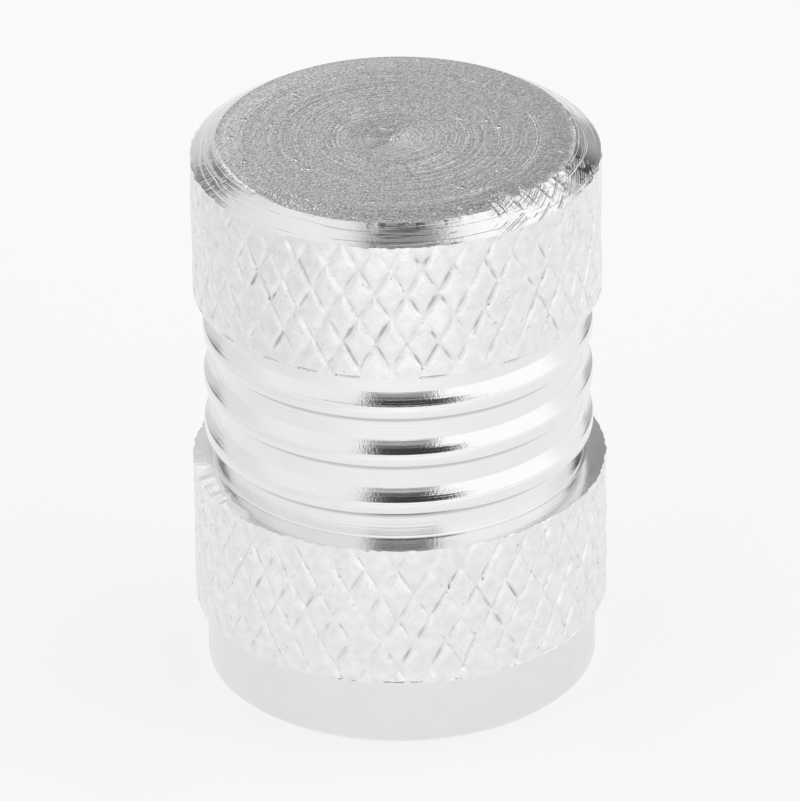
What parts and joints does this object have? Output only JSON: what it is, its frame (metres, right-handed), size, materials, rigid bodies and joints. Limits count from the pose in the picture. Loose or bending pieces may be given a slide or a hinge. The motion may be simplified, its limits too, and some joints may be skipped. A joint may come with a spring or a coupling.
{
  "type": "tyre valve cap",
  "caption": "Turned aluminium tyre valve cap with two diamond-knurled bands, a ribbed waist, a plain skirt and a threaded blind bore with a rubber sealing washer.",
  "frame": {"origin": "centre of the open end's rim, on the plane that the cap stands on", "axes": "+Z along the cap's axis, from the open end to the closed end; -Y is the side seen in front in the picture"},
  "size_m": [0.0122, 0.0122, 0.017],
  "materials": {
    "bare_aluminium": "bare turned metal with bright knurled bands and fine turning marks",
    "seal_rubber": "matt black rubber"
  },
  "bodies": {
    "root": {"cap_body": "bare_aluminium", "sealing_washer": "seal_rubber"}
  },
  "joints": []
}
